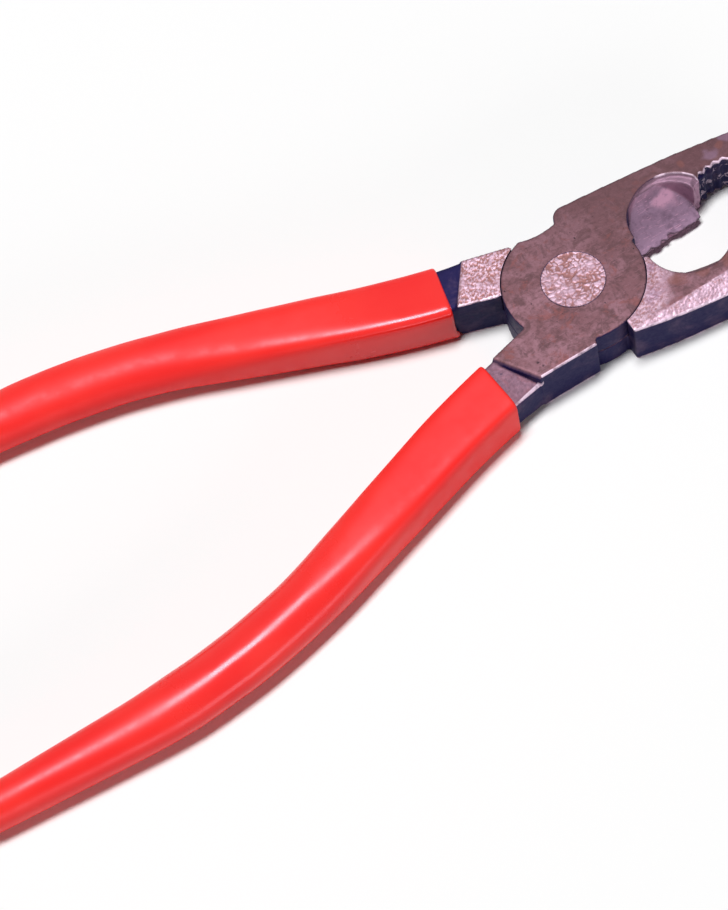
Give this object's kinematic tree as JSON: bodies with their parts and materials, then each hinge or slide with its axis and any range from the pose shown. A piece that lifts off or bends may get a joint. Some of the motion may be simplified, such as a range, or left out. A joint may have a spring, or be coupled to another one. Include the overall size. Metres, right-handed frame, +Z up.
{
  "type": "combination pliers",
  "caption": "Riveted combination pliers with a round lap joint, side cutter, toothed pipe grip, flat tips and red dipped grips.",
  "frame": {"origin": "on the rivet's axis at the flat back face that the pliers rest on", "axes": "+X to the jaws along the bisector of the handles, +Y to the upper jaw's side, +Z up through the thickness"},
  "size_m": [0.2007, 0.084, 0.0105],
  "materials": {
    "patina_steel": "worn forged steel with a brown patina",
    "ground_steel": "ground forged steel, pitted, with light rust",
    "rivet_steel": "ground flush and pitted",
    "red_plastic": "glossy dipped plastic"
  },
  "bodies": {
    "rear_lever": {"rear_half": "ground_steel", "rivet": "rivet_steel", "rear_grip": "red_plastic"},
    "front_lever": {"front_half": "patina_steel", "front_grip": "red_plastic"}
  },
  "joints": [
    {"name": "pliers_hinge", "type": "hinge", "parent": "rear_lever", "child": "front_lever", "pos_m": [0, 0, 0.00525], "axis": [0, 0, 1], "range_deg": [-18.5, 26.5]}
  ]
}
